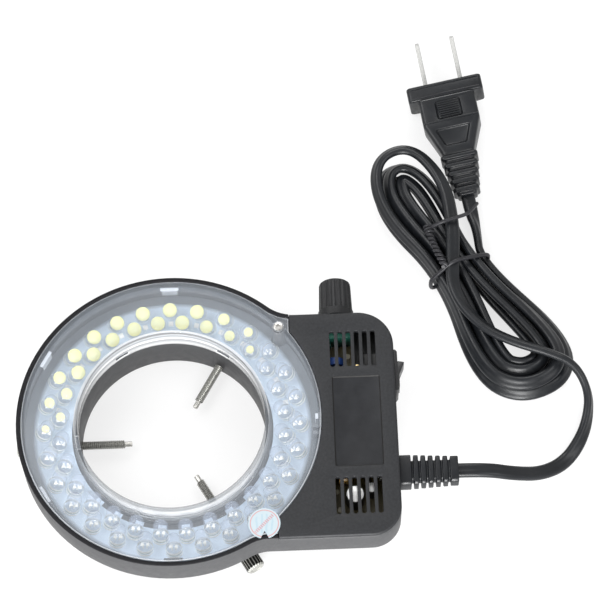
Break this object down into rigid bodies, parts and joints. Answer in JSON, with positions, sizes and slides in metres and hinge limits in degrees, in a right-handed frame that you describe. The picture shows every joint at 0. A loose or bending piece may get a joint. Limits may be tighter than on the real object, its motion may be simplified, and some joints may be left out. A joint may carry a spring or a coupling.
{
  "type": "microscope ring light",
  "caption": "Ring light for a stereo microscope: tilted LEDs under a clear cover, side control box with dimmer and rocker, thumbscrew collar, and a corded plug.",
  "frame": {"origin": "on the ring's axis, in the plane of the collar's foot", "axes": "+Z along the ring's axis, the way the light shines as it lies here; +X towards the control box; +Y towards the side with the dimmer knob"},
  "size_m": [0.1964, 0.2016, 0.0263],
  "materials": {
    "housing_plastic": "fine matt texture",
    "lid_plastic": "fine matt texture",
    "clear_plastic": "clear, polished",
    "led_epoxy": "clear epoxy",
    "board_laminate": "solder mask",
    "driver_laminate": "phenolic board",
    "screw_steel": "machined",
    "black_screw": "black oxide",
    "paper": "thin paper",
    "knob_plastic": "satin",
    "switch_plastic": "satin",
    "terminal_brass": "stamped",
    "pot_body": "moulded",
    "can_sleeve": "shrunk sleeve",
    "varistor_lacquer": "lacquer",
    "ferrite": "taped",
    "film_case": "moulded",
    "wire_insulation": "insulation",
    "cord_jacket": "satin",
    "tie_sleeve": "satin"
  },
  "bodies": {
    "light": {"housing": "housing_plastic", "clear_cover": "clear_plastic", "ear_screws": "screw_steel", "paper_seal": "paper", "led_board": "board_laminate", "leds_inner": "led_epoxy", "leds_outer": "led_epoxy", "box_lid": "lid_plastic", "case_screws": "black_screw", "potentiometer": "pot_body", "switch_body": "switch_plastic", "switch_terminals": "terminal_brass", "control_board": "driver_laminate", "capacitor_large": "can_sleeve", "capacitor_small": "can_sleeve", "varistor": "varistor_lacquer", "transformer": "ferrite", "film_capacitor": "film_case", "led_wires": "wire_insulation", "switch_wires": "wire_insulation", "mains_wires": "wire_insulation", "strain_relief": "cord_jacket", "cord_free": "cord_jacket", "cord_hank": "cord_jacket", "twist_tie": "tie_sleeve", "plug_body": "cord_jacket", "plug_blades": "terminal_brass"},
    "dial": {"dial_shaft": "screw_steel", "brightness_knob": "knob_plastic"},
    "rocker_key": {"rocker": "switch_plastic"},
    "clamp_screw_1": {"thumbscrew_1": "screw_steel"},
    "clamp_screw_2": {"thumbscrew_2": "screw_steel"},
    "clamp_screw_3": {"thumbscrew_3": "screw_steel"}
  },
  "joints": [
    {"name": "dial_turn", "type": "hinge", "parent": "light", "child": "dial", "pos_m": [0.0563, 0.0362, 0.0184], "axis": [0, 1, 0], "range_deg": [-150, 150]},
    {"name": "rocker_tip", "type": "hinge", "parent": "light", "child": "rocker_key", "pos_m": [0.0738, 0.0153, 0.0184], "axis": [0, 0, 1], "range_deg": [0, 24]},
    {"name": "clamp_screw_1_travel", "type": "slide", "parent": "light", "child": "clamp_screw_1", "axis": [-0.5, -0.866, 0], "range_m": [-0.0165, 0.008]},
    {"name": "clamp_screw_2_travel", "type": "slide", "parent": "light", "child": "clamp_screw_2", "axis": [1, 0, 0], "range_m": [-0.0165, 0.008]},
    {"name": "clamp_screw_3_travel", "type": "slide", "parent": "light", "child": "clamp_screw_3", "axis": [-0.5, 0.866, 0], "range_m": [-0.0165, 0.008]}
  ]
}
